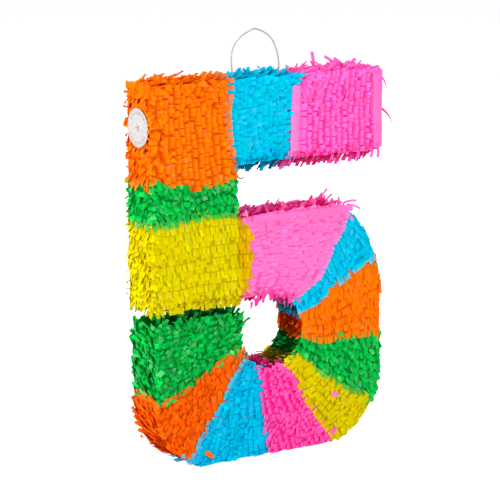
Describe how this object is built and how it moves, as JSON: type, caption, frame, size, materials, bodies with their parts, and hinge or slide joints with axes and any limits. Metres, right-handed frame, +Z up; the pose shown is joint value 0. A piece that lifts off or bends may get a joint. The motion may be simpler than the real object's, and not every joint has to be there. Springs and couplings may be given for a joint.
{
  "type": "pinata",
  "caption": "Number-shaped hollow cardboard pinata wrapped in coloured tissue fringe, with a hinged fill flap and a wire loop to hang it by.",
  "frame": {"origin": "middle of the width and depth of the fringed body, on its flat bottom", "axes": "+Z up towards the hanging loop, +X along the top bar away from the stem, front face towards -Y"},
  "size_m": [0.3584, 0.06, 0.56],
  "materials": {
    "kraft_card": "matt corrugated cardboard",
    "paper_tape": "folded gummed paper tape",
    "tissue_orange": "matt cut tissue fringe",
    "tissue_blue": "matt cut tissue fringe",
    "tissue_pink": "matt cut tissue fringe",
    "tissue_green": "matt cut tissue fringe",
    "tissue_yellow": "matt cut tissue fringe",
    "coated_wire": "satin white coating",
    "label_paper": "satin white label with a plain printed ring"
  },
  "bodies": {
    "body": {"front_panel": "kraft_card", "back_panel": "kraft_card", "top_wall": "kraft_card", "left_wall": "kraft_card", "stem_bottom_wall": "kraft_card", "stem_inner_wall": "kraft_card", "bar_underside_wall": "kraft_card", "bar_end_wall": "kraft_card", "bowl_top_wall": "kraft_card", "shoulder_wall": "kraft_card", "right_wall": "kraft_card", "lower_right_wall": "kraft_card", "bottom_wall": "kraft_card", "lower_left_wall": "kraft_card", "terminal_side_wall": "kraft_card", "terminal_top_wall": "kraft_card", "counter_wall": "kraft_card", "top_stiffener": "kraft_card", "left_wire_anchor": "paper_tape", "right_wire_anchor": "paper_tape", "fringe_orange_top": "tissue_orange", "fringe_blue_top": "tissue_blue", "fringe_pink_bar": "tissue_pink", "fringe_green_stem": "tissue_green", "fringe_yellow_stem": "tissue_yellow", "fringe_pink_bowl": "tissue_pink", "fringe_blue_bowl": "tissue_blue", "fringe_orange_right": "tissue_orange", "fringe_green_right": "tissue_green", "fringe_yellow_lower": "tissue_yellow", "fringe_pink_lower": "tissue_pink", "fringe_blue_lower": "tissue_blue", "fringe_orange_end": "tissue_orange", "fringe_green_end": "tissue_green", "bottom_fringe_blue": "tissue_blue", "bottom_fringe_pink": "tissue_pink"},
    "hanger": {"hanging_wire": "coated_wire"},
    "flap": {"fill_flap": "kraft_card", "flap_fringe": "tissue_orange", "round_label": "label_paper"}
  },
  "joints": [
    {"name": "wire_lean", "type": "hinge", "parent": "body", "child": "hanger", "pos_m": [-0.004, 0, 0.4885], "axis": [1, 0, 0], "range_deg": [-35, 35]},
    {"name": "flap_hinge", "type": "hinge", "parent": "body", "child": "flap", "pos_m": [-0.179, 0, 0.475], "axis": [0, 1, 0], "range_deg": [0, 120]}
  ]
}
